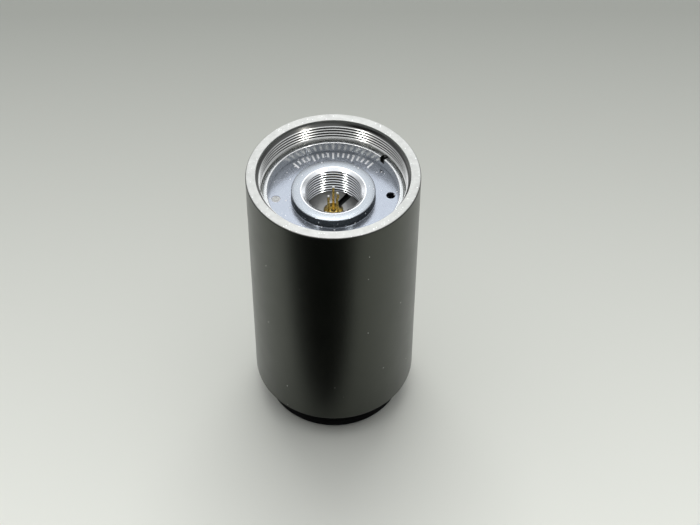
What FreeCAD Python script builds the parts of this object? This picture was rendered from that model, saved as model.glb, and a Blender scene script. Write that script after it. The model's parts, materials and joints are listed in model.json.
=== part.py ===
import FreeCAD, Part
import math
import os

from FreeCAD import Vector

# Laser diode mount, in millimetres.
# The axis is Z, the mouth looks up and the end of the male nose thread stands at z = 0.
# Threads are modelled at their crests, and a mating pair keeps thread_gap between crests.

# Housing tube, turned from bar
body_r = 15.24
body_length = 50.8
rim_chamfer = 0.3
base_chamfer = 0.25
nose_r = 13.1
nose_length = 5.5
nose_chamfer = 0.5
nose_groove_r = 12.45
nose_groove_width = 0.9
relief_r = 13.5
relief_depth = 0.6
mouth_r = 12.85
mouth_lead_drop = 0.3
seat_step = 0.16
chamber_r = 11.0
chamber_length = 6.0
focus_bore_r = 10.5
focus_bore_length = 19.8
exit_bore_r = 11.0
exit_chamfer = 0.5
thread_gap = 0.05

# Diode plate: a flange with a threaded boss above it and a hub below it
plate_depth = 5.8
flange_thickness = 2.0
flange_side_gap = 0.15
boss_r = 7.4
boss_height = 1.8
boss_edge = 0.15
boss_thread_r = 5.0
boss_mouth_r = 5.6
boss_mouth_drop = 0.38
hub_r = 7.2
hub_length = 6.0
beam_cone_r = 4.8
beam_cone_height = 1.7
spanner_circle_r = 10.1
spanner_hole_r = 0.65
spanner_hole_depth = 1.1
spanner_angle = 2.1

# Lock ring that screws down on the flange
lock_ring_bore_r = 11.57
lock_ring_height = 2.0
lock_ring_edge = 0.35
lock_ring_inner_edge = 0.16
lock_slot_width = 1.05
lock_slot_depth = 1.1
lock_slot_angle = 41.0
lock_ring_run_in = 0.2

# Clamp ring that screws down on the back of the diode
clamp_ring_bore_r = 1.68
clamp_ring_height = 1.15
clamp_ring_edge = 0.25
clamp_ring_inner_edge = 0.12
clamp_slot_width = 1.13
clamp_slot_depth = 0.8
clamp_slot_angle = 52.0
clamp_relief = 0.15

# Laser diode in its can
diode_depth = 6.1
header_r = 2.8
header_thickness = 1.2
header_side_gap = 0.05
header_notch_width = 0.5
header_notch_depth = 0.3
header_notch_offset = 30.0
post_width = 1.1
post_depth = 0.8
post_height = 1.3
cap_flange_r = 2.35
cap_flange_thickness = 0.15
cap_r = 1.78
cap_height = 2.3
cap_wall = 0.15
cap_aperture_r = 0.8
cap_side_gap = 0.1
window_r = 1.2
window_thickness = 0.25
facet_depth = 1.27
chip_length = 0.3
chip_width = 0.25
chip_thickness = 0.12
submount_length = 0.6
submount_width = 0.6
submount_thickness = 0.2
photodiode_side = 0.8
photodiode_thickness = 0.2
lead_circle_r = 1.0
lead_r = 0.21
lead_tip_edge = 0.06
lead_inside_length = 0.5
lead_seal_r = 0.45
laser_lead_angle = 90.0
common_lead_angle = 210.0
monitor_lead_angle = 330.0
laser_lead_length = 5.95
common_lead_length = 5.15
monitor_lead_length = 5.9
lead_bend_r = 0.5
lead_bend_offset = 0.24
lead_bend_height = 4.1

# Focusing carrier with the lens in its cell
lens_distance = 4.05
carrier_length = 12.0
carrier_thread_length = 6.0
carrier_body_gap = 0.3
carrier_throat_r = 3.7
carrier_throat_length = 1.9
carrier_mouth_r = 7.0
carrier_slot_width = 1.6
carrier_slot_depth = 1.3
carrier_slot_angle = 0.0
cell_r = 4.5
cell_length = 3.4
cell_lip = 0.4
cell_aperture_r = 2.5
lens_r = 3.165
lens_side_gap = 0.03
lens_edge_thickness = 1.6
lens_sag = 1.3
drag_ring_section = 0.95
drag_ring_gap = 0.03
drag_ring_height = 3.0
drag_groove_width = 1.1

# Heights that follow from the sizes above
rim_z = nose_length + body_length
plate_z = rim_z - plate_depth
shoulder_z = plate_z - flange_thickness
boss_top_z = plate_z + boss_height
lock_top_z = plate_z + lock_ring_height
mouth_thread_top_z = rim_z - relief_depth - mouth_lead_drop
seat_top_z = lock_top_z + lock_ring_run_in
chamber_bottom_z = shoulder_z - chamber_length
focus_bottom_z = chamber_bottom_z - focus_bore_length
hub_bottom_z = shoulder_z - hub_length
header_back_z = boss_top_z - diode_depth
header_seat_z = header_back_z - header_thickness
clamp_top_z = header_back_z + clamp_ring_height
carrier_top_z = header_seat_z - lens_distance
carrier_bottom_z = carrier_top_z - carrier_length
cell_bottom_z = carrier_top_z - cell_length

# Radii that follow from the piece that each one fits
seat_thread_r = mouth_r - seat_step
lock_ring_r = seat_thread_r - thread_gap
flange_r = seat_thread_r - flange_side_gap
clamp_ring_r = boss_thread_r - thread_gap
header_pocket_r = header_r + header_side_gap
cap_bore_r = cap_flange_r + cap_side_gap
carrier_r = focus_bore_r - thread_gap
carrier_body_r = focus_bore_r - carrier_body_gap
cell_bore_r = cell_r + thread_gap
lens_pocket_r = lens_r + lens_side_gap
drag_ring_r = focus_bore_r - drag_ring_gap
drag_ring_bore_r = drag_ring_r - drag_ring_section
drag_groove_r = drag_ring_bore_r - drag_ring_gap


def turned(points):
    """Solid of revolution about Z from a closed outline of (radius, height) corners."""
    corners = [Vector(radius, 0, height) for radius, height in points]
    outline = Part.makePolygon(corners + corners[:1])
    return Part.Face(outline).revolve(Vector(0, 0, 0), Vector(0, 0, 1), 360)


def washer(outer_r, inner_r, bottom_z, top_z):
    """Plain ring between two heights."""
    return turned([(inner_r, bottom_z), (outer_r, bottom_z), (outer_r, top_z), (inner_r, top_z)])


def disc(radius, bottom_z, top_z):
    """Plain cylinder on the axis."""
    return Part.makeCylinder(radius, top_z - bottom_z, Vector(0, 0, bottom_z))


def rotated(shape, angle):
    """The shape turned about Z by an angle in degrees."""
    return shape.rotate(Vector(0, 0, 0), Vector(0, 0, 1), angle)


def cross_slot(reach, width, bottom_z, top_z, angle):
    """Cutter for a pair of opposite slots, one pass of a saw across the whole face."""
    cutter = Part.makeBox(2 * reach, width, top_z - bottom_z, Vector(-reach, -width / 2, bottom_z))
    return rotated(cutter, angle)


def on_circle(radius, angle, height):
    """Point at a radius and an angle in degrees round the axis."""
    turn = math.radians(angle)
    return Vector(radius * math.cos(turn), radius * math.sin(turn), height)


def housing_tube():
    """Body, nose thread, relieved mouth, plate seat, focus bore and exit bore in one outline."""
    groove_top = nose_length
    groove_bottom = nose_length - nose_groove_width
    groove_slope = nose_r - nose_groove_r
    return turned([
        (exit_bore_r + exit_chamfer, 0),
        (nose_r - nose_chamfer, 0),
        (nose_r, nose_chamfer),
        (nose_r, groove_bottom - groove_slope),
        (nose_groove_r, groove_bottom),
        (nose_groove_r, groove_top),
        (body_r - base_chamfer, nose_length),
        (body_r, nose_length + base_chamfer),
        (body_r, rim_z - rim_chamfer),
        (body_r - rim_chamfer, rim_z),
        (relief_r, rim_z),
        (relief_r, rim_z - relief_depth),
        (mouth_r, mouth_thread_top_z),
        (mouth_r, seat_top_z),
        (seat_thread_r, seat_top_z - seat_step),
        (seat_thread_r, shoulder_z),
        (chamber_r, shoulder_z),
        (chamber_r, chamber_bottom_z),
        (focus_bore_r, chamber_bottom_z - (chamber_r - focus_bore_r)),
        (focus_bore_r, focus_bottom_z + (exit_bore_r - focus_bore_r)),
        (exit_bore_r, focus_bottom_z),
        (exit_bore_r, exit_chamfer),
    ])


def spanner_hole(angle):
    """Cutter for one blind spanner hole."""
    floor = on_circle(spanner_circle_r, angle, plate_z - spanner_hole_depth)
    return Part.makeCylinder(spanner_hole_r, spanner_hole_depth, floor)


def diode_plate():
    """Flange, boss and hub in one turning, bored for the clamp ring, the diode and the beam."""
    pocket_floor_z = header_back_z - clamp_relief
    plate = turned([
        (beam_cone_r, hub_bottom_z),
        (hub_r, hub_bottom_z),
        (hub_r, shoulder_z),
        (flange_r, shoulder_z),
        (flange_r, plate_z),
        (boss_r, plate_z),
        (boss_r, boss_top_z - boss_edge),
        (boss_r - boss_edge, boss_top_z),
        (boss_mouth_r, boss_top_z),
        (boss_thread_r, boss_top_z - boss_mouth_drop),
        (boss_thread_r, pocket_floor_z),
        (header_pocket_r, pocket_floor_z),
        (header_pocket_r, header_seat_z),
        (cap_bore_r, header_seat_z),
        (cap_bore_r, hub_bottom_z + beam_cone_height),
    ])
    for half_turn in (0, 180):
        plate = plate.cut(spanner_hole(spanner_angle + half_turn))
    return plate


def lock_ring():
    """Slotted ring in the mouth thread, seated on the flange."""
    ring = turned([
        (lock_ring_bore_r, plate_z),
        (lock_ring_r, plate_z),
        (lock_ring_r, lock_top_z - lock_ring_edge),
        (lock_ring_r - lock_ring_edge, lock_top_z),
        (lock_ring_bore_r + lock_ring_inner_edge, lock_top_z),
        (lock_ring_bore_r, lock_top_z - lock_ring_inner_edge),
    ])
    slot_floor_z = lock_top_z - lock_slot_depth
    return ring.cut(cross_slot(body_r, lock_slot_width, slot_floor_z, rim_z, lock_slot_angle))


def diode_clamp_ring():
    """Slotted ring in the boss thread, seated on the back of the diode."""
    ring = turned([
        (clamp_ring_bore_r, header_back_z),
        (clamp_ring_r, header_back_z),
        (clamp_ring_r, clamp_top_z - clamp_ring_edge),
        (clamp_ring_r - clamp_ring_edge, clamp_top_z),
        (clamp_ring_bore_r + clamp_ring_inner_edge, clamp_top_z),
        (clamp_ring_bore_r, clamp_top_z - clamp_ring_inner_edge),
    ])
    slot_floor_z = clamp_top_z - clamp_slot_depth
    return ring.cut(cross_slot(boss_r, clamp_slot_width, slot_floor_z, rim_z, clamp_slot_angle))


def header_notch(angle):
    """Cutter for one V notch in the edge of the header."""
    tip = Vector(header_r - header_notch_depth, 0, header_seat_z)
    side = Vector(header_r + header_notch_depth, header_notch_width, header_seat_z)
    other_side = Vector(side.x, -side.y, header_seat_z)
    outline = Part.Face(Part.makePolygon([tip, side, other_side, tip]))
    return rotated(outline.extrude(Vector(0, 0, header_thickness)), angle)


def seal_hole(angle):
    """Cutter for the glass seal of one insulated lead."""
    foot = on_circle(lead_circle_r, angle, header_seat_z)
    return Part.makeCylinder(lead_seal_r, header_thickness, foot)


def on_post(shape):
    """Turn a shape drawn with the post on its +Y side so that the post stands by the common lead."""
    return rotated(shape, common_lead_angle - 90)


def diode_header():
    """Gold-plated steel disc with its notched edge and two holes for the sealed leads."""
    header = disc(header_r, header_seat_z, header_back_z)
    for angle in (laser_lead_angle, monitor_lead_angle):
        header = header.cut(seal_hole(angle))
        header = header.cut(header_notch(angle + header_notch_offset))
    return header.cut(header_notch(common_lead_angle)).removeSplitter()


def heat_sink_post():
    """Copper block brazed to the header, beside the beam's axis."""
    near_side = chip_thickness / 2 + submount_thickness
    corner = Vector(-post_width / 2, near_side, header_seat_z - post_height)
    return on_post(Part.makeBox(post_width, post_depth, post_height, corner))


def diode_cap():
    """Drawn can over the chip, welded to the header by its flange, with a round aperture."""
    end_z = header_seat_z - cap_height
    return turned([
        (cap_aperture_r, end_z),
        (cap_r, end_z),
        (cap_r, header_seat_z - cap_flange_thickness),
        (cap_flange_r, header_seat_z - cap_flange_thickness),
        (cap_flange_r, header_seat_z),
        (cap_r - cap_wall, header_seat_z),
        (cap_r - cap_wall, end_z + cap_wall),
        (cap_aperture_r, end_z + cap_wall),
    ])


def cap_window():
    """Glass disc fused to the inside of the can's end."""
    inner_end_z = header_seat_z - cap_height + cap_wall
    return disc(window_r, inner_end_z, inner_end_z + window_thickness)


def laser_submount():
    """Ceramic tile soldered to the post."""
    top_z = header_seat_z - facet_depth + submount_length
    corner = Vector(-submount_width / 2, chip_thickness / 2, top_z - submount_length)
    return on_post(Part.makeBox(submount_width, submount_thickness, submount_length, corner))


def laser_chip():
    """Laser bar on the submount, with its front facet at the emission plane."""
    corner = Vector(-chip_width / 2, -chip_thickness / 2, header_seat_z - facet_depth)
    return on_post(Part.makeBox(chip_width, chip_thickness, chip_length, corner))


def monitor_photodiode():
    """Silicon square on the header, behind the rear facet of the chip."""
    far_side = chip_thickness / 2 - photodiode_side
    corner = Vector(-photodiode_side / 2, far_side, header_seat_z - photodiode_thickness)
    return on_post(Part.makeBox(photodiode_side, photodiode_side, photodiode_thickness, corner))


def straight_lead(angle, bottom_z, length):
    """Round pin with a broken edge at its tip."""
    tip_z = header_back_z + length
    lead = turned([
        (0, bottom_z),
        (lead_r, bottom_z),
        (lead_r, tip_z - lead_tip_edge),
        (lead_r - lead_tip_edge, tip_z),
        (0, tip_z),
    ])
    lead.translate(on_circle(lead_circle_r, angle, 0))
    return lead


def bend(before, corner, after, radius):
    """Tangent arc that rounds one corner of a wire's route, with its two end points."""
    back = (before - corner).normalize()
    ahead = (after - corner).normalize()
    half_angle = back.getAngle(ahead) / 2
    reach = radius / math.tan(half_angle)
    start = corner + back * reach
    end = corner + ahead * reach
    centre_way = (back + ahead).normalize()
    middle = corner + centre_way * (radius / math.sin(half_angle) - radius)
    return start, Part.Arc(start, middle, end).toShape(), end


def bent_lead(angle, bottom_z, length):
    """Round pin that leans inwards and has a kink below its tip, with tangent bends."""
    foot = on_circle(lead_circle_r, angle, 0)
    inwards = Vector(-lead_bend_offset, 0, 0)
    tip_rise = (length - lead_bend_height) / 2
    bend_z = header_back_z + lead_bend_height
    route = [
        foot + Vector(0, 0, bottom_z),
        foot + Vector(0, 0, header_back_z + lead_r),
        foot + inwards + Vector(0, 0, bend_z),
        foot + Vector(0, 0, bend_z + tip_rise),
        foot + inwards + Vector(0, 0, bend_z + 2 * tip_rise),
    ]
    edges = []
    reached = route[0]
    for before, corner, after in zip(route, route[1:], route[2:]):
        start, arc, end = bend(before, corner, after, lead_bend_r)
        edges += [Part.makeLine(reached, start), arc]
        reached = end
    edges.append(Part.makeLine(reached, route[-1]))
    profile = Part.Wire(Part.makeCircle(lead_r, route[0], Vector(0, 0, 1)))
    return Part.Wire(edges).makePipeShell([profile], True, True)


def lead_seal(angle):
    """Glass sleeve between an insulated lead and the header."""
    seal = washer(lead_seal_r, lead_r, header_seat_z, header_back_z)
    seal.translate(on_circle(lead_circle_r, angle, 0))
    return seal


def lens_carrier():
    """Threaded barrel with a seat for the lens cell, a wide mouth and two spanner slots."""
    throat_bottom_z = cell_bottom_z - carrier_throat_length
    groove_middle_z = carrier_bottom_z + drag_ring_height
    groove_top_z = groove_middle_z + drag_groove_width / 2
    groove_bottom_z = groove_middle_z - drag_groove_width / 2
    thread_bottom_z = carrier_top_z - carrier_thread_length
    carrier = turned([
        (cell_bore_r, carrier_top_z),
        (cell_bore_r, cell_bottom_z),
        (carrier_throat_r, cell_bottom_z),
        (carrier_throat_r, throat_bottom_z),
        (carrier_mouth_r, throat_bottom_z),
        (carrier_mouth_r, carrier_bottom_z),
        (carrier_body_r, carrier_bottom_z),
        (carrier_body_r, groove_bottom_z),
        (drag_groove_r, groove_bottom_z),
        (drag_groove_r, groove_top_z),
        (carrier_body_r, groove_top_z),
        (carrier_body_r, thread_bottom_z),
        (carrier_r, thread_bottom_z),
        (carrier_r, carrier_top_z),
    ])
    slot_roof_z = carrier_bottom_z + carrier_slot_depth
    slots = cross_slot(body_r, carrier_slot_width, focus_bottom_z, slot_roof_z, carrier_slot_angle)
    return carrier.cut(slots)


def lens_cell():
    """Threaded ring with a lip over the lens, seated on the carrier's throat."""
    lip_bottom_z = carrier_top_z - cell_lip
    return turned([
        (cell_aperture_r, carrier_top_z),
        (cell_aperture_r, lip_bottom_z),
        (lens_pocket_r, lip_bottom_z),
        (lens_pocket_r, cell_bottom_z),
        (cell_r, cell_bottom_z),
        (cell_r, carrier_top_z),
    ])


def collimating_lens():
    """Moulded lens: a flat face to the diode, a ground edge and a steep dome to the exit."""
    flat_z = carrier_top_z - cell_lip
    edge_z = flat_z - lens_edge_thickness
    dome_r = (lens_r ** 2 + lens_sag ** 2) / (2 * lens_sag)
    ball = Part.makeSphere(dome_r, Vector(0, 0, edge_z - lens_sag + dome_r))
    dome = ball.common(disc(lens_r, edge_z - lens_sag, edge_z))
    return disc(lens_r, edge_z, flat_z).fuse(dome).removeSplitter()


def focus_drag_ring():
    """Polymer ring in the carrier's groove, which keeps the focus where it is set."""
    middle_z = carrier_bottom_z + drag_ring_height
    half_height = drag_ring_section / 2
    return washer(drag_ring_r, drag_ring_bore_r, middle_z - half_height, middle_z + half_height)


inside_z = header_seat_z - lead_inside_length

pieces = {
    "housing_tube": housing_tube(),
    "diode_plate": diode_plate(),
    "lock_ring": lock_ring(),
    "diode_clamp_ring": diode_clamp_ring(),
    "diode_header": diode_header(),
    "heat_sink_post": heat_sink_post(),
    "diode_cap": diode_cap(),
    "cap_window": cap_window(),
    "laser_submount": laser_submount(),
    "laser_chip": laser_chip(),
    "monitor_photodiode": monitor_photodiode(),
    "common_lead": straight_lead(common_lead_angle, header_back_z, common_lead_length),
    "laser_lead": straight_lead(laser_lead_angle, inside_z, laser_lead_length),
    "monitor_lead": bent_lead(monitor_lead_angle, inside_z, monitor_lead_length),
    "laser_lead_seal": lead_seal(laser_lead_angle),
    "monitor_lead_seal": lead_seal(monitor_lead_angle),
    "lens_carrier": lens_carrier(),
    "lens_cell": lens_cell(),
    "collimating_lens": collimating_lens(),
    "focus_drag_ring": focus_drag_ring(),
}

os.makedirs("parts", exist_ok=True)
for name, shape in pieces.items():
    shape.exportStep("parts/" + name + ".step")
    print(name, shape.ShapeType, "valid", shape.isValid(), "volume", round(shape.Volume, 3))
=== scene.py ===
import json
import math

import bmesh
import bpy
from mathutils import Matrix, Vector


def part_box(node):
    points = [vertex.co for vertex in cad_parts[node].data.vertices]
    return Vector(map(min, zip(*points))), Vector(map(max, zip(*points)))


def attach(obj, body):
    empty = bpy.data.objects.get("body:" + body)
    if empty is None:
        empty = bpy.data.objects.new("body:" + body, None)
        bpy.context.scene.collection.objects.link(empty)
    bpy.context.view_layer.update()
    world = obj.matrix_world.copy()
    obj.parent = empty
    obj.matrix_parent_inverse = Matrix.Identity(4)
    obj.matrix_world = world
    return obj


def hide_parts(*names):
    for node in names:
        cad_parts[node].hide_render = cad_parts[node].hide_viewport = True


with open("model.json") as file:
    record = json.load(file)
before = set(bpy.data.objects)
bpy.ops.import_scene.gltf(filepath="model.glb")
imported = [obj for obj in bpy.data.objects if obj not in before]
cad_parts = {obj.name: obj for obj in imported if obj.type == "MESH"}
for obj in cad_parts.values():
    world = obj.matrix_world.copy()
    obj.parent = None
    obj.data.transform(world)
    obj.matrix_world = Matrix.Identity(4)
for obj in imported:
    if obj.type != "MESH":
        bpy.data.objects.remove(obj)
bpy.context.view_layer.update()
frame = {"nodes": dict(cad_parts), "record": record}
MM = 0.001

# Housing tube
# One aluminium turning, anodised satin black. Its mouth is threaded for the lock ring and a mating tube, and
# its nose for the next mount. The flat of the rim and the mouth are worn back to pale metal.

mount_r = {m["name"]: m["dims"].get("r_mm", 0) * MM for m in frame["record"]["mounts"]}
tube_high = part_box("housing_tube")[1]
plate_low, plate_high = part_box("diode_plate")
ring_low, ring_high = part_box("lock_ring")
body_r = tube_high.x
rim_z = tube_high.z
nose_z = 5.5 * MM
nose_r = mount_r["nose_thread"]
nose_groove_r = 12.45 * MM
nose_groove_z = 4.6 * MM
mouth_r = mount_r["mouth_thread"]
seat_r = 12.69 * MM
relief_r = 13.5 * MM
relief_z = rim_z - 0.6 * MM
lead_in_z = relief_z - 0.3 * MM
shoulder_z = 48.5 * MM
chamber_r = 11.0 * MM
chamber_z = shoulder_z - 6.0 * MM
focus_r = 10.5 * MM
focus_z = chamber_z - 19.8 * MM
exit_r = 11.0 * MM
tube_pitch = 0.635 * MM
groove_depth = 0.34 * MM
tube_steps = 192
thread_start = 40


def wire(bm, points, roundings):
    """Open outline of (radius, height) corners in the XZ plane. Those named in roundings get a small arc."""
    corners = [bm.verts.new((radius, 0, height)) for radius, height in points]
    for near, far in zip(corners, corners[1:]):
        bm.edges.new((near, far))
    for size in sorted(set(roundings.values())):
        chosen = [corners[place] for place, value in roundings.items() if value == size]
        bmesh.ops.bevel(bm, geom=chosen, offset=size, offset_type="OFFSET", segments=3, profile=0.5,
                        affect="VERTICES", material=-1)


def turned(bm, points, roundings, steps):
    """Surface turned from an outline of (radius, height) corners."""
    outline = bmesh.new()
    wire(outline, points, roundings)
    bmesh.ops.spin(outline, geom=outline.verts[:] + outline.edges[:], cent=(0, 0, 0), axis=(0, 0, 1),
                   angle=2 * math.pi, steps=steps, use_merge=True)
    add(bm, outline)


def add(bm, part):
    """Move all that a small bmesh holds into another."""
    held = bpy.data.meshes.new("held")
    part.to_mesh(held)
    part.free()
    bm.from_mesh(held)
    bpy.data.meshes.remove(held)


def screw(bm, crest_r, low_z, high_z, pitch, depth, steps, run_out, start=None):
    """Right-handed thread between two circles at the crest's radius. A positive depth cuts outwards, as in a
    bore, and a negative one inwards, as on a shaft. The groove fades over run_out at either end, but where
    start gives the angle in degrees at which the tool went in, it stays open at the top there."""
    corners = (0.0, 0.125, 0.28, 0.4375, 0.6875, 0.84)
    turned_on = 0 if start is None else ((high_z - low_z) / pitch - start / 360 - 0.5625) % 1
    thread = bmesh.new()
    turns = math.ceil((high_z - low_z) / pitch) + 1
    heights = [low_z + (turn - 1 + corner) * pitch for turn in range(turns + 1) for corner in corners]
    wire(thread, [(crest_r, height) for height in heights], {})
    bmesh.ops.spin(thread, geom=thread.verts[:] + thread.edges[:], cent=(0, 0, 0), axis=(0, 0, 1),
                   angle=2 * math.pi, steps=steps, dvec=(0, 0, pitch / steps))
    for vert in thread.verts:
        angle = math.atan2(vert.co.y, vert.co.x) / (2 * math.pi)
        vert.co.z = min(max(vert.co.z, low_z), high_z)
        phase = ((vert.co.z - low_z) / pitch - angle - turned_on + 1e-4) % 1
        flank = min(max((phase - 0.125) / 0.3125, 0), max((1 - phase) / 0.3125, 0), 1)
        fade = min((vert.co.z - low_z) / run_out, 1)
        if start is None:
            fade = min((high_z - vert.co.z) / run_out, fade)
        radius = crest_r + depth * flank * fade
        vert.co.x *= radius / crest_r
        vert.co.y *= radius / crest_r
    bmesh.ops.remove_doubles(thread, verts=thread.verts, dist=1e-6)
    bmesh.ops.dissolve_degenerate(thread, edges=thread.edges, dist=1e-7)
    add(bm, thread)


def finished(name, bm, finishes, body, node):
    """Weld the shape, turn its faces outwards and make it a piece that rides on a body. It stands for a node,
    where one is named."""
    sharp_edge = math.radians(40)
    bmesh.ops.remove_doubles(bm, verts=bm.verts, dist=1e-6)
    bmesh.ops.recalc_face_normals(bm, faces=bm.faces)
    mesh = bpy.data.meshes.new(name)
    bm.to_mesh(mesh)
    bm.free()
    mesh.shade_smooth()
    mesh.set_sharp_from_angle(angle=sharp_edge)
    for finish in finishes:
        mesh.materials.append(finish)
    piece = bpy.data.objects.new(name, mesh)
    bpy.context.scene.collection.objects.link(piece)
    weighting = piece.modifiers.new("even_shading", "WEIGHTED_NORMAL")
    weighting.keep_sharp = True
    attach(piece, body)
    if node:
        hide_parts(node)


class Number:
    """A number that changes over a surface. Arithmetic on it adds the nodes that work it out."""

    def __init__(self, finish, socket):
        self.finish = finish
        self.socket = socket

    def math(self, operation, *others, clamp=False):
        return self.finish.math(operation, self, *others, clamp=clamp)

    def __add__(self, other):
        return self.math("ADD", other)

    def __radd__(self, other):
        return self.math("ADD", other)

    def __sub__(self, other):
        return self.math("SUBTRACT", other)

    def __rsub__(self, other):
        return self.finish.math("SUBTRACT", other, self)

    def __mul__(self, other):
        return self.math("MULTIPLY", other)

    def __rmul__(self, other):
        return self.math("MULTIPLY", other)

    def __truediv__(self, other):
        return self.math("DIVIDE", other)

    def __gt__(self, other):
        return self.math("GREATER_THAN", other)

    def __lt__(self, other):
        return self.math("LESS_THAN", other)

    def clamped(self):
        return self.math("ADD", 0.0, clamp=True)


class Finish:
    """A material as it is built up: a Principled shader and the nodes that feed it."""

    def __init__(self, name, base, roughness, metallic=0.0, **constants):
        self.material = bpy.data.materials.new(name)
        self.material.use_nodes = True
        self.tree = self.material.node_tree
        self.shader = self.tree.nodes["Principled BSDF"]
        settings = {"Base Color": (*base, 1), "Roughness": roughness, "Metallic": metallic, **constants}
        for socket, value in settings.items():
            self.shader.inputs[socket].default_value = value

    def node(self, kind, settings=None, inputs=None):
        """Add a node: its settings come first, then the value or link of each named socket."""
        node = self.tree.nodes.new(kind)
        for name, value in (settings or {}).items():
            setattr(node, name, value)
        for name, value in (inputs or {}).items():
            self.feed(node.inputs[name], value)
        return node

    def feed(self, socket, value):
        if isinstance(value, Number):
            self.tree.links.new(value.socket, socket)
        elif isinstance(value, bpy.types.NodeSocket):
            self.tree.links.new(value, socket)
        else:
            socket.default_value = value

    def number(self, node, output):
        return Number(self, node.outputs[output])

    def math(self, operation, *values, clamp=False):
        node = self.node("ShaderNodeMath", {"operation": operation, "use_clamp": clamp})
        for place, value in enumerate(values):
            self.feed(node.inputs[place], value)
        return Number(self, node.outputs[0])

    def place(self):
        """Object coordinates in metres."""
        coordinates = self.node("ShaderNodeTexCoord")
        mapping = self.node("ShaderNodeMapping", {}, {"Vector": coordinates.outputs["Object"]})
        return mapping.outputs["Vector"]

    def axes(self):
        """The three object coordinates as numbers, in metres."""
        split = self.node("ShaderNodeSeparateXYZ", {}, {"Vector": self.place()})
        return [self.number(split, name) for name in ("X", "Y", "Z")]

    def radius(self):
        """Distance from the tube's axis, in metres."""
        x, y, z = self.axes()
        return (x * x + y * y).math("SQRT")

    def noise(self, size, detail=3.0):
        """Cloudy pattern from 0 to 1 whose features measure about size."""
        noise = self.node("ShaderNodeTexNoise", {},
                          {"Vector": self.place(), "Scale": 1 / size, "Detail": detail})
        return self.number(noise, "Fac")

    def turning(self, size):
        """Fine rings left by the lathe, a pattern from 0 to 1 along the radius."""
        rings = self.node("ShaderNodeTexNoise", {"noise_dimensions": "1D"},
                          {"W": self.radius() / size, "Scale": 1.0, "Detail": 2.0})
        return self.number(rings, "Fac")

    def specks(self, spacing, size, share):
        """Round specks up to size across, in a share of the cells, which lie spacing apart. It is 1 on a
        speck, and else 0."""
        cells = self.node("ShaderNodeTexVoronoi", {"feature": "F1"},
                          {"Vector": self.place(), "Scale": 1 / spacing, "Randomness": 1.0})
        split = self.node("ShaderNodeSeparateColor", {}, {"Color": cells.outputs["Color"]})
        chance = self.number(split, "Red")
        bulk = self.number(split, "Green")
        reach = (bulk * 0.7 + 0.3) * (0.5 * size / spacing)
        distance = self.number(cells, "Distance")
        return (reach > distance) * (chance < share)

    def blend(self, factor, under, over):
        """Colour that goes from one to another by a factor."""
        mix = self.node("ShaderNodeMix", {"data_type": "RGBA"})
        self.feed(mix.inputs["Factor"], factor)
        for socket, colour in zip([s for s in mix.inputs if s.type == "RGBA"], (under, over)):
            self.feed(socket, colour if isinstance(colour, bpy.types.NodeSocket) else (*colour, 1))
        return [s for s in mix.outputs if s.type == "RGBA"][0]

    def set(self, **inputs):
        """Feed the shader's own sockets, named with underscores for spaces."""
        for name, value in inputs.items():
            self.feed(self.shader.inputs[name.replace("_", " ")], value)

    def bump(self, height, distance):
        """Relief of the surface, distance deep where height goes from 0 to 1."""
        bump = self.node("ShaderNodeBump", {}, {"Height": height, "Distance": distance, "Strength": 1.0})
        self.feed(self.shader.inputs["Normal"], bump.outputs["Normal"])


def satin_black():
    """Fine bead-blasted black anodising, with a little dust on it."""
    tint = {"IOR": 1.55, "Specular Tint": (0.93, 1.0, 0.80, 1)}
    finish = Finish("satin_black", (0.001, 0.0015, 0.001), 0.34, **tint)
    dust = finish.specks(1.5 * MM, 0.24 * MM, 0.12)
    cloud = finish.noise(4 * MM)
    grain = finish.noise(0.12 * MM, 2.0)
    colour = finish.blend(cloud, (0.0005, 0.0008, 0.0005), (0.0016, 0.0022, 0.0014))
    finish.set(Base_Color=finish.blend(dust, colour, (0.75, 0.75, 0.72)),
               Roughness=0.30 + cloud * 0.08 + dust * 0.3)
    finish.bump(grain, 0.004 * MM)
    return finish.material


def thread_black():
    """The same anodising on the nose thread, dull where the tool's marks cross."""
    finish = Finish("thread_black", (0.001, 0.001, 0.001), 0.5, **{"Specular IOR Level": 0.12})
    dust = finish.specks(1.2 * MM, 0.14 * MM, 0.05)
    cloud = finish.noise(1.5 * MM)
    finish.set(Base_Color=finish.blend(dust, (0.001, 0.001, 0.001), (0.5, 0.5, 0.47)),
               Roughness=0.42 + cloud * 0.16)
    return finish.material


turned_metal = {"Anisotropic": 0.6, "Anisotropic Rotation": 0.25}


def worn_rim():
    """Bare, scuffed aluminium where the rim has been handled and set down. Black is left low on its edges."""
    finish = Finish("worn_rim", (0.74, 0.74, 0.70), 0.42, 0.6, **turned_metal)
    z = finish.axes()[2]
    rings = finish.turning(0.05 * MM)
    mottle = finish.noise(0.9 * MM, 6.0)
    scuff = finish.noise(0.12 * MM, 3.0)
    glint = finish.specks(0.42 * MM, 0.26 * MM, 0.34)
    bare_wear_and_hole_glint = ((z - (rim_z - 0.10 * MM)) / (0.08 * MM) + (scuff - 0.5) * 0.8).clamped()
    colour = finish.blend(mottle * 0.5 + scuff * 0.3 + rings * 0.2, (0.42, 0.42, 0.39), (0.94, 0.94, 0.90))
    colour = finish.blend(glint, colour, (1.0, 1.0, 0.98))
    finish.set(Base_Color=finish.blend(bare_wear_and_hole_glint, (0.05, 0.052, 0.046), colour),
               Roughness=0.34 + scuff * 0.24)
    finish.bump(scuff, 0.02 * MM)
    return finish.material


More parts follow.
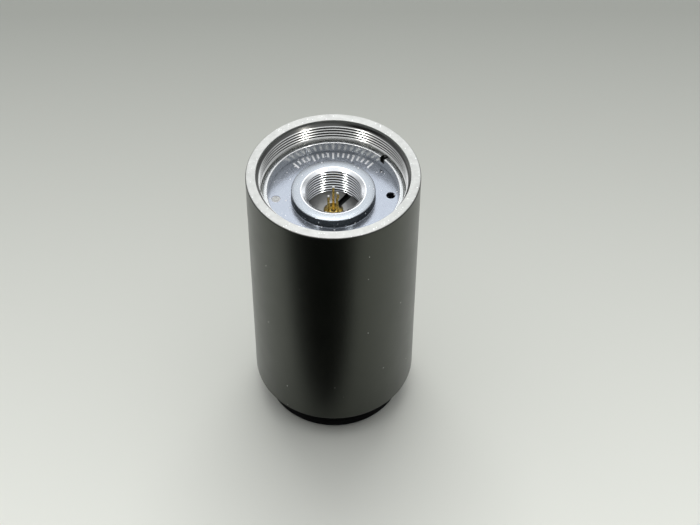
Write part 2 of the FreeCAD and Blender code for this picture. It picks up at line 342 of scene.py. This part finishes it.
def mouth_metal():
    """Machined thread and relief in the mouth: bare along the crests, with painted shade down in the roots.
    """
    finish = Finish("mouth_metal", (0.60, 0.60, 0.58), 0.26, 0.95, **turned_metal)
    z = finish.axes()[2]
    root_shade = ((finish.radius() - (mouth_r + 0.06 * MM)) / (0.14 * MM)).clamped()
    cloud = finish.noise(2.5 * MM)
    colour = finish.blend(cloud, (0.60, 0.60, 0.58), (0.80, 0.80, 0.78))
    # painted shade: the thread roots are darkened by their radius
    colour = finish.blend(root_shade, colour, (0.10, 0.10, 0.095))
    relief = z > relief_z + 0.02 * MM
    finish.set(Base_Color=finish.blend(relief, colour, (0.32, 0.33, 0.30)),
               Metallic=0.95 - relief * 0.75, Roughness=0.17 + cloud * 0.10 + relief * 0.2)
    return finish.material


tube = bmesh.new()
turned(tube, [
    (relief_r, relief_z),
    (relief_r, rim_z),
    (body_r, rim_z),
    (body_r, nose_z),
    (nose_groove_r, nose_z),
    (nose_groove_r, nose_groove_z),
    (nose_r, nose_groove_z - (nose_r - nose_groove_r)),
], {1: 0.08 * MM, 2: 0.3 * MM, 3: 0.25 * MM, 4: 0.1 * MM}, tube_steps)
screw(tube, nose_r, 0.5 * MM, nose_groove_z - (nose_r - nose_groove_r), tube_pitch, -groove_depth, tube_steps,
      0.3 * MM)
turned(tube, [
    (nose_r, 0.5 * MM),
    (nose_r - 0.5 * MM, 0),
    (exit_r + 0.5 * MM, 0),
    (exit_r, 0.5 * MM),
    (exit_r, focus_z),
    (focus_r, focus_z + (exit_r - focus_r)),
    (focus_r, chamber_z - (chamber_r - focus_r)),
    (chamber_r, chamber_z),
    (chamber_r, shoulder_z),
    (seat_r, shoulder_z),
    (seat_r, ring_high.z + 0.05 * MM),
    (mouth_r, ring_high.z + 0.2 * MM),
], {}, tube_steps)
screw(tube, mouth_r, ring_high.z + 0.2 * MM, lead_in_z, tube_pitch, groove_depth, tube_steps, 0.15 * MM,
      thread_start)
bmesh.ops.remove_doubles(tube, verts=tube.verts, dist=1e-6)
lead_in = [edge for edge in tube.edges if edge.is_boundary]
bmesh.ops.bridge_loops(tube, edges=lead_in)
for face in tube.faces:
    middle = face.calc_center_median()
    reach = math.hypot(middle.x, middle.y)
    if middle.z < nose_z - 0.05 * MM and reach > nose_groove_r - 0.5 * MM:
        face.material_index = 3
    if middle.z > rim_z - 0.34 * MM and reach > relief_r:
        face.material_index = 1
    elif middle.z > shoulder_z and reach < relief_r + 0.1 * MM:
        face.material_index = 2
finished("housing_body", tube, [satin_black(), worn_rim(), mouth_metal(), thread_black()], "housing",
         "housing_tube")


# Diode plate
# One aluminium turning: a flange that the lock ring holds down, a threaded boss above it and a hub below,
# with the diode's pocket. It is faced on the lathe, anodised pale grey, and has two blind spanner holes.

plate_z = ring_low.z
flange_r = plate_high.x
boss_r = 7.4 * MM
boss_z = plate_high.z
boss_thread_r = mount_r["boss_thread"]
boss_thread_top = boss_z - 0.38 * MM
boss_mouth_r = 5.6 * MM
hub_r = 7.2 * MM
hub_edge = 0.2 * MM
ring_pocket_z = 46.05 * MM
header_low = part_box("diode_header")[0]
header_pocket_r = 2.85 * MM
throat_r = 2.45 * MM
throat_flare_r = 4.8 * MM
throat_flare_z = plate_low.z + 1.7 * MM
plate_steps = 160
spanner_circle_r = 10.1 * MM
spanner_hole_r = 0.65 * MM
spanner_hole_depth = 1.1 * MM
spanner_angle = math.radians(2.1)


def shape_of(bm):
    """Loose object for one modifier, with its faces outwards."""
    bmesh.ops.remove_doubles(bm, verts=bm.verts, dist=1e-6)
    bmesh.ops.recalc_face_normals(bm, faces=bm.faces)
    mesh = bpy.data.meshes.new("loose")
    bm.to_mesh(mesh)
    bm.free()
    loose = bpy.data.objects.new("loose", mesh)
    bpy.context.scene.collection.objects.link(loose)
    return loose


def cut(bm, cutter):
    """A shape less a cutter. Both are used up."""
    kept = shape_of(bm)
    taken = shape_of(cutter)
    difference = kept.modifiers.new("cut", "BOOLEAN")
    difference.operation = "DIFFERENCE"
    difference.solver = "EXACT"
    difference.object = taken
    bpy.context.view_layer.update()
    result = bmesh.new()
    result.from_object(kept, bpy.context.evaluated_depsgraph_get())
    for loose in (kept, taken):
        mesh = loose.data
        bpy.data.objects.remove(loose)
        bpy.data.meshes.remove(mesh)
    return result


def spanner_drill(angle):
    """Cutter for one spanner hole at an angle in radians, with a small countersink at its mouth."""
    drill = bmesh.new()
    turned(drill, [
        (0, plate_z - spanner_hole_depth),
        (spanner_hole_r, plate_z - spanner_hole_depth),
        (spanner_hole_r, plate_z - 0.16 * MM),
        (spanner_hole_r + 0.3 * MM, plate_z + 0.14 * MM),
        (0, plate_z + 0.14 * MM),
    ], {}, 40)
    middle = Vector((spanner_circle_r * math.cos(angle), spanner_circle_r * math.sin(angle), 0))
    bmesh.ops.translate(drill, verts=drill.verts, vec=middle)
    return drill


def grey_anodising():
    """Fine lathe rings under grey anodising, bluish in soft light, with lint and dust lying on it. The boss
    is polished on top, with a painted highlight on its mouth chamfer, a painted dark reflection on its wall
    with painted glints at its foot, and painted shade in the roots of its thread. The east spanner hole has
    painted shade in it, and the west one a painted highlight."""
    finish = Finish("grey_anodising", (0.50, 0.53, 0.58), 0.32, 0.9, **turned_metal)
    x, y, z = finish.axes()
    radius = finish.radius()
    rings = finish.turning(0.05 * MM)
    cloud = finish.noise(1.5 * MM)
    dust = finish.specks(0.7 * MM, 0.32 * MM, 0.34)
    face = finish.blend(rings * 0.5 + cloud * 0.5, (0.345, 0.37, 0.42), (0.49, 0.525, 0.58))
    top = finish.blend(rings, (0.37, 0.395, 0.42), (0.50, 0.53, 0.56))
    colour = finish.blend(z > boss_z - 0.1 * MM, face, top)
    # painted highlight: the boss's mouth chamfer and the top of its thread are coloured near white
    colour = finish.blend((radius < 5.8 * MM) * (z > boss_thread_top - 0.1 * MM), colour, (0.90, 0.91, 0.92))
    # painted shade: the roots of the boss thread are darkened by their radius
    root_shade = ((radius - (boss_thread_r + 0.06 * MM)) / (0.14 * MM)).clamped()
    in_thread = (radius < 5.5 * MM) * (z < boss_thread_top) * (z > ring_pocket_z)
    colour = finish.blend(in_thread, colour, finish.blend(root_shade, (0.78, 0.80, 0.82), (0.015, 0.017, 0.02)))
    # painted dark reflection on the boss's outer wall
    wall_dark_reflection = (radius > boss_r - 0.1 * MM) * (radius < boss_r + 0.02 * MM) * (z < boss_z - 0.12 * MM)
    colour = finish.blend(wall_dark_reflection, colour, (0.10, 0.11, 0.115))
    # painted glints: bright specks low on the boss wall
    foot_glint = wall_dark_reflection * (z < plate_z + 0.6 * MM) * finish.specks(0.5 * MM, 0.26 * MM, 0.35)
    colour = finish.blend(foot_glint, colour, (0.85, 0.88, 0.92))
    # painted shade inside the spanner holes, with a painted highlight in place of it in the west hole
    in_hole = (radius > 9.0 * MM) * (z < plate_z - 0.05 * MM)
    bare_wear_and_hole_glint = in_hole * (x < 0)
    colour = finish.blend(in_hole, colour, finish.blend(bare_wear_and_hole_glint, (0.05, 0.055, 0.06), (1.0, 1.0, 0.99)))
    finish.set(Base_Color=finish.blend(dust, colour, (0.95, 0.95, 0.95)),
               Roughness=0.15 + cloud * 0.10 + dust * 0.3, Metallic=0.9 - dust * 0.8 - bare_wear_and_hole_glint * 0.8)
    finish.bump(rings, 0.003 * MM)
    return finish.material


plate = bmesh.new()
turned(plate, [
    (boss_thread_r, ring_pocket_z),
    (header_pocket_r, ring_pocket_z),
    (header_pocket_r, header_low.z),
    (throat_r, header_low.z),
    (throat_r, throat_flare_z),
    (throat_flare_r, plate_low.z),
    (hub_r, plate_low.z),
    (hub_r, shoulder_z),
    (flange_r, shoulder_z),
    (flange_r, plate_z),
    (boss_r, plate_z),
    (boss_r, boss_z),
    (boss_mouth_r, boss_z),
    (boss_thread_r, boss_thread_top),
], {6: hub_edge, 7: 0.1 * MM, 8: 0.15 * MM, 9: 0.15 * MM, 10: 0.08 * MM, 11: 0.15 * MM, 12: 0.04 * MM},
       plate_steps)
screw(plate, boss_thread_r, ring_pocket_z, boss_thread_top, tube_pitch, groove_depth, plate_steps, 0.15 * MM)
for angle in (spanner_angle, spanner_angle + math.pi):
    plate = cut(plate, spanner_drill(angle))
finished("laser_plate", plate, [grey_anodising()], "housing", "diode_plate")


# Index ticks
# Plain white marks round the back of the plate, cut shallow with a laser. They carry no words or numbers.

tick_near_r = 9.5 * MM
tick_far_r = 11.1 * MM
tick_width = 0.34 * MM
tick_rise = 0.012 * MM
tick_first = 50
tick_last = 130
tick_count = 17


def white_marking():
    """Bleached anodising that the laser leaves, slightly uneven."""
    finish = Finish("white_marking", (0.95, 0.95, 0.94), 0.5, 0.5)
    cloud = finish.noise(0.3 * MM)
    finish.set(Base_Color=finish.blend(cloud, (0.92, 0.92, 0.91), (1.0, 1.0, 1.0)),
               Roughness=0.45 + cloud * 0.15)
    return finish.material


ticks = bmesh.new()
for place in range(tick_count):
    angle = math.radians(tick_first + (tick_last - tick_first) * place / (tick_count - 1))
    near_r = tick_near_r if place % 4 == 0 else tick_near_r + 0.5 * MM
    length = tick_far_r - near_r
    middle = Vector(((near_r + tick_far_r) / 2, 0, plate_z + tick_rise / 2))
    spread = Matrix.Diagonal((length, tick_width, tick_rise, 1))
    turn = Matrix.Rotation(angle, 4, "Z")
    tick = bmesh.ops.create_cube(ticks, size=1, matrix=turn @ Matrix.Translation(middle) @ spread)
    upright = [edge for vert in tick["verts"] for edge in vert.link_edges
               if abs(edge.verts[0].co.z - edge.verts[1].co.z) > tick_rise / 2]
    bmesh.ops.bevel(ticks, geom=list(set(upright)), offset=0.06 * MM, offset_type="OFFSET", segments=2,
                    profile=0.5, affect="EDGES", material=-1)
finished("index_ticks", ticks, [white_marking()], "housing", "")


# Lock ring
# A turned aluminium ring in the mouth's thread, screwed down on the plate's flange. Two saw slots across its
# top take the spanner.

ring_r = ring_high.x
ring_bore_r = 11.57 * MM
ring_slot_width = 1.05 * MM
ring_slot_z = ring_high.z - 1.1 * MM
ring_slot_angle = 41


def saw(width, floor_z, angle):
    """Cutter for a pair of opposite slots, one pass across the whole face."""
    blade = bmesh.new()
    height = rim_z - floor_z
    spread = Matrix.Diagonal((3 * body_r, width, height, 1))
    lift = Matrix.Translation((0, 0, floor_z + height / 2))
    bmesh.ops.create_cube(blade, size=1, matrix=Matrix.Rotation(math.radians(angle), 4, "Z") @ lift @ spread)
    return blade


def shade_slots(bm, width, floor_z, angle):
    """Give the cut faces of a pair of saw slots the piece's second finish, the painted slot shade."""
    turn_back = Matrix.Rotation(math.radians(-angle), 4, "Z")
    for face in bm.faces:
        middle = turn_back @ face.calc_center_median()
        in_floor = abs(middle.z - floor_z) < 1e-6 and abs(middle.y) < width / 2
        if in_floor or abs(abs(middle.y) - width / 2) < 1e-6:
            face.material_index = 1


def ring_finish():
    """Bright turned metal with a thin clear anodising, and a painted highlight along the inner top edge."""
    finish = Finish("bright_ring", (0.56, 0.57, 0.56), 0.25, 1.0, **turned_metal)
    z = finish.axes()[2]
    rings = finish.turning(0.04 * MM)
    cloud = finish.noise(1.2 * MM)
    colour = finish.blend(cloud, (0.56, 0.57, 0.56), (0.74, 0.75, 0.74))
    # painted highlight: the inner top edge of the ring is coloured near white
    edge = (finish.radius() < ring_bore_r + 0.2 * MM) * (z > ring_high.z - 0.2 * MM)
    colour = finish.blend(edge, colour, (0.92, 0.92, 0.91))
    finish.set(Base_Color=colour, Roughness=0.20 + cloud * 0.12)
    finish.bump(rings, 0.002 * MM)
    return finish.material


def painted_slot_shade():
    """Painted shade inside the saw slots, with a few painted glints."""
    finish = Finish("painted_slot_shade", (0.02, 0.02, 0.02), 0.4, 0.3)
    slot_glint = finish.specks(0.5 * MM, 0.2 * MM, 0.12)
    # painted shade in the slots, near black, with painted glints
    finish.set(Base_Color=finish.blend(slot_glint, (0.015, 0.016, 0.015), (0.75, 0.75, 0.74)),
               Roughness=0.35 + slot_glint * 0.1)
    return finish.material


slot_shade = painted_slot_shade()
ring = bmesh.new()
turned(ring, [
    (ring_r, ring_high.z - 0.35 * MM),
    (ring_r - 0.35 * MM, ring_high.z),
    (ring_bore_r, ring_high.z),
    (ring_bore_r, plate_z),
    (ring_r - 0.3 * MM, plate_z),
    (ring_r, plate_z + 0.3 * MM),
], {1: 0.05 * MM, 2: 0.16 * MM, 3: 0.1 * MM}, tube_steps)
screw(ring, ring_r, plate_z + 0.3 * MM, ring_high.z - 0.35 * MM, tube_pitch, -0.3 * MM, tube_steps, 0.2 * MM)
ring = cut(ring, saw(ring_slot_width, ring_slot_z, ring_slot_angle))
shade_slots(ring, ring_slot_width, ring_slot_z, ring_slot_angle)
finished("retaining_ring", ring, [ring_finish(), slot_shade], "lock_ring", "lock_ring")


# Clamp ring
# The small slotted ring in the boss's thread. It presses the diode's header onto its seat, and the leads come
# up through its bore.

clamp_low, clamp_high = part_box("diode_clamp_ring")
clamp_r = clamp_high.x
clamp_bore_r = 1.68 * MM
clamp_slot_width = 1.13 * MM
clamp_slot_z = clamp_high.z - 0.8 * MM
clamp_slot_angle = 52
clamp_steps = 96


def satin_ring():
    """Satin nickel, duller than the lock ring."""
    finish = Finish("satin_ring", (0.42, 0.42, 0.41), 0.34, 1.0, **turned_metal)
    rings = finish.turning(0.06 * MM)
    cloud = finish.noise(0.8 * MM)
    colour = finish.blend(cloud, (0.34, 0.34, 0.33), (0.52, 0.52, 0.51))
    finish.set(Base_Color=colour, Roughness=0.28 + cloud * 0.14)
    finish.bump(rings, 0.003 * MM)
    return finish.material


clamp = bmesh.new()
turned(clamp, [
    (clamp_r, clamp_high.z - 0.25 * MM),
    (clamp_r - 0.25 * MM, clamp_high.z),
    (clamp_bore_r, clamp_high.z),
    (clamp_bore_r, clamp_low.z),
    (clamp_r - 0.2 * MM, clamp_low.z),
    (clamp_r, clamp_low.z + 0.2 * MM),
], {1: 0.05 * MM, 2: 0.12 * MM, 3: 0.05 * MM}, clamp_steps)
screw(clamp, clamp_r, clamp_low.z + 0.2 * MM, clamp_high.z - 0.25 * MM, tube_pitch, -0.28 * MM, clamp_steps,
      0.15 * MM)
clamp = cut(clamp, saw(clamp_slot_width, clamp_slot_z, clamp_slot_angle))
shade_slots(clamp, clamp_slot_width, clamp_slot_z, clamp_slot_angle)
finished("diode_nut", clamp, [satin_ring(), slot_shade], "clamp_ring", "diode_clamp_ring")


# Laser diode
# A 5.6 mm can: a gold-plated header with three notches, two leads sealed in dark glass and one welded on, and
# a nickel cap welded over the chip. One lead keeps the slight bend that handling gave it.


def gold():
    """Bright gold plating over nickel."""
    finish = Finish("gold_plating", (1.0, 0.74, 0.24), 0.26, 0.7)
    cloud = finish.noise(0.25 * MM)
    finish.set(Base_Color=finish.blend(cloud, (1.0, 0.66, 0.15), (1.0, 0.84, 0.30)),
               Roughness=0.20 + cloud * 0.16)
    return finish.material


def plain(name, base, roughness, metallic=0.0, spread=0.15, size=0.4 * MM, **constants):
    """A finish whose colour and gloss drift a little over the surface."""
    finish = Finish(name, base, roughness, metallic, **constants)
    cloud = finish.noise(size)
    dark = tuple(channel * (1 - spread) for channel in base)
    light = tuple(min(channel * (1 + spread), 1) for channel in base)
    finish.set(Base_Color=finish.blend(cloud, dark, light),
               Roughness=roughness * 0.8 + cloud * roughness * 0.4)
    return finish.material


gold_plating = gold()
clear_glass = {"Transmission Weight": 1.0, "IOR": 1.52}
node_finishes = {
    "diode_header": gold_plating,
    "common_lead": gold_plating,
    "laser_lead": gold_plating,
    "monitor_lead": gold_plating,
    "laser_lead_seal": plain("seal_glass", (0.03, 0.02, 0.015), 0.12),
    "monitor_lead_seal": plain("seal_glass_pair", (0.03, 0.02, 0.015), 0.12),
    "heat_sink_post": plain("copper_block", (0.80, 0.40, 0.26), 0.28, 1.0),
    "diode_cap": plain("nickel_cap", (0.62, 0.60, 0.56), 0.24, 1.0),
    "cap_window": plain("window_glass", (0.93, 0.96, 0.98), 0.03, **clear_glass),
    "laser_submount": plain("submount_ceramic", (0.80, 0.79, 0.74), 0.55),
    "laser_chip": plain("chip_crystal", (0.10, 0.09, 0.10), 0.15, 0.4),
    "monitor_photodiode": plain("photodiode_silicon", (0.06, 0.06, 0.11), 0.12, 0.3),
}
for name, material in node_finishes.items():
    frame["nodes"][name].data.materials.clear()
    frame["nodes"][name].data.materials.append(material)


# Lead tips
# The leads are cut to length after plating, and their bare ends are dipped in tin, which leaves a small
# bright bead on each.

bead_r = 0.25 * MM


def bead(bm, spot):
    """Small bead on the end of a lead, a little flatter than a ball."""
    flat = Matrix.Diagonal((1, 1, 0.8, 1))
    place = Matrix.Translation(spot)
    bmesh.ops.create_uvsphere(bm, u_segments=24, v_segments=14, radius=bead_r, matrix=place @ flat)


beads = bmesh.new()
for name in ("common_lead", "laser_lead", "monitor_lead"):
    lead = frame["nodes"][name]
    top = max(vert.co.z for vert in lead.data.vertices)
    ends = [vert.co for vert in lead.data.vertices if vert.co.z > top - 0.08 * MM]
    middle = sum(ends, Vector()) / len(ends)
    bead(beads, Vector((middle.x, middle.y, top - bead_r * 0.5)))
bright_tin = plain("bright_tin", (0.92, 0.92, 0.90), 0.3, 0.7, size=0.1 * MM)
finished("lead_beads", beads, [bright_tin], "housing", "")


# Lens carrier
# A black threaded barrel that turns in the focus bore, with the lens in a screwed cell at its top and a
# polymer ring in a groove that keeps it where it is set.

carrier_finishes = {
    "lens_carrier": plain("carrier_black", (0.020, 0.021, 0.023), 0.4, size=3 * MM),
    "lens_cell": plain("cell_nickel", (0.50, 0.49, 0.46), 0.28, 1.0, size=2 * MM),
    "collimating_lens": plain("lens_glass", (0.90, 0.94, 0.97), 0.02, **clear_glass),
    "focus_drag_ring": plain("drag_polymer", (0.80, 0.78, 0.72), 0.5, size=2 * MM),
}
for name, material in carrier_finishes.items():
    frame["nodes"][name].data.materials.clear()
    frame["nodes"][name].data.materials.append(material)


# Studio
# A plain pale table under the mount, wide soft lights behind and above it, and two small lamps in front. The
# camera looks down at it as a person at the table does.


def pale_table():
    """Plain pale paper, with painted shade making it a little darker towards the back. Polished surfaces see
    it dark in front, as if the person who looks at the mount stood there, and paler elsewhere."""
    finish = Finish("pale_table", (0.66, 0.665, 0.60), 0.8)
    x, y, z = finish.axes()
    # painted shade: the paper darkens towards the back as the light falls off
    depth = ((y / 0.16) + 0.3).clamped()
    paper_and_falloff = finish.blend(depth, (0.88, 0.88, 0.80), (0.33, 0.335, 0.30))
    ray = finish.node("ShaderNodeLightPath")
    right_edge = ((x * -0.79 - (y + 0.022) * 0.62) / 0.008 + 0.5).clamped()
    left_edge = ((x * 0.28 - (y + 0.019) * 0.96) / 0.008 + 0.5).clamped()
    mirrored = finish.number(ray, "Is Glossy Ray")
    paper_and_falloff = finish.blend(mirrored * 0.5, paper_and_falloff, (1.0, 1.0, 0.93))
    finish.set(Base_Color=finish.blend(right_edge * left_edge * mirrored, paper_and_falloff, (0.002, 0.004, 0.002)))
    return finish.material


table = bmesh.new()
bmesh.ops.create_grid(table, x_segments=1, y_segments=1, size=1.5)
table_mesh = bpy.data.meshes.new("table_top")
table.to_mesh(table_mesh)
table.free()
table_mesh.materials.append(pale_table())
table_top = bpy.data.objects.new("table_top", table_mesh)
bpy.context.scene.collection.objects.link(table_top)


def lamp(name, place, size, watts, colour, on_table=True, in_metal=True):
    """Soft lamp aimed at the mouth of the mount. It can be kept off the table, or out of the reflections."""
    light = bpy.data.lights.new(name, "AREA")
    light.shape = "RECTANGLE"
    light.size, light.size_y = size
    light.energy = watts
    light.color = colour
    holder = bpy.data.objects.new(name, light)
    holder.location = place
    aim = Vector((0, 0, rim_z)) - Vector(place)
    holder.rotation_euler = aim.to_track_quat("-Z", "Y").to_euler()
    holder.visible_diffuse = on_table
    holder.visible_glossy = in_metal
    bpy.context.scene.collection.objects.link(holder)


lamp("back_softbox", (0, 0.36, 0.62), (0.5, 0.3), 2.0, (0.96, 0.98, 1.0), in_metal=False)
lamp("back_window", (0, 0.42, 0.50), (0.26, 0.22), 0.15, (0.94, 0.97, 1.0), on_table=False)
lamp("high_window", (0, 0.30, 0.68), (0.16, 0.25), 0.25, (0.94, 0.97, 1.0), on_table=False)
lamp("left_lamp", (-0.317, -0.154, 0.83), (0.06, 0.06), 0.7, (1.0, 0.98, 0.94), on_table=False)
lamp("right_lamp", (0.317, -0.154, 0.83), (0.06, 0.06), 0.7, (1.0, 0.98, 0.94), on_table=False)


class Sky(Finish):
    """The light that surrounds the table, by direction."""

    def __init__(self, name):
        self.world = bpy.data.worlds.new(name)
        self.world.use_nodes = True
        self.tree = self.world.node_tree
        self.shader = self.tree.nodes["Background"]

    def direction(self):
        coordinates = self.node("ShaderNodeTexCoord")
        split = self.node("ShaderNodeSeparateXYZ", {}, {"Vector": coordinates.outputs["Generated"]})
        return [self.number(split, name) for name in ("X", "Y", "Z")]


sky = Sky("studio_air")
east, north, high = sky.direction()
overhead = ((high - 0.6) / 0.3).clamped()
low_back = (north * 1.6).clamped() * ((0.55 - high) / 0.3).clamped()
person = ((0 - north - 0.1) / 0.4).clamped() * (1 - overhead)
aside = (east.math("ABSOLUTE") * 1.6 - 0.2).clamped() * ((high - 0.45) / 0.2).clamped() * (1 - overhead)
sky.set(Color=(0.95, 0.97, 1.0, 1),
        Strength=0.55 + overhead * 0.55 + low_back * 1.0 - person * 0.5 - aside * 0.2)
bpy.context.scene.world = sky.world

eye = bpy.data.cameras.new("eye")
eye.sensor_width = 36
eye.lens = 81.367
eye_pan = math.radians(0.8885)
eye_tilt = math.radians(48.4037)
eye_roll = math.radians(0.3658)
camera = bpy.data.objects.new("eye", eye)
turn_down = Matrix.Rotation(math.pi / 2 - eye_tilt, 4, "X")
camera.matrix_world = (Matrix.Translation((0, -193.1 * MM, 250.738 * MM)) @ Matrix.Rotation(-eye_pan, 4, "Z")
                       @ turn_down @ Matrix.Rotation(eye_roll, 4, "Z"))
bpy.context.scene.collection.objects.link(camera)
bpy.context.scene.camera = camera
bpy.context.scene.view_settings.view_transform = "Standard"
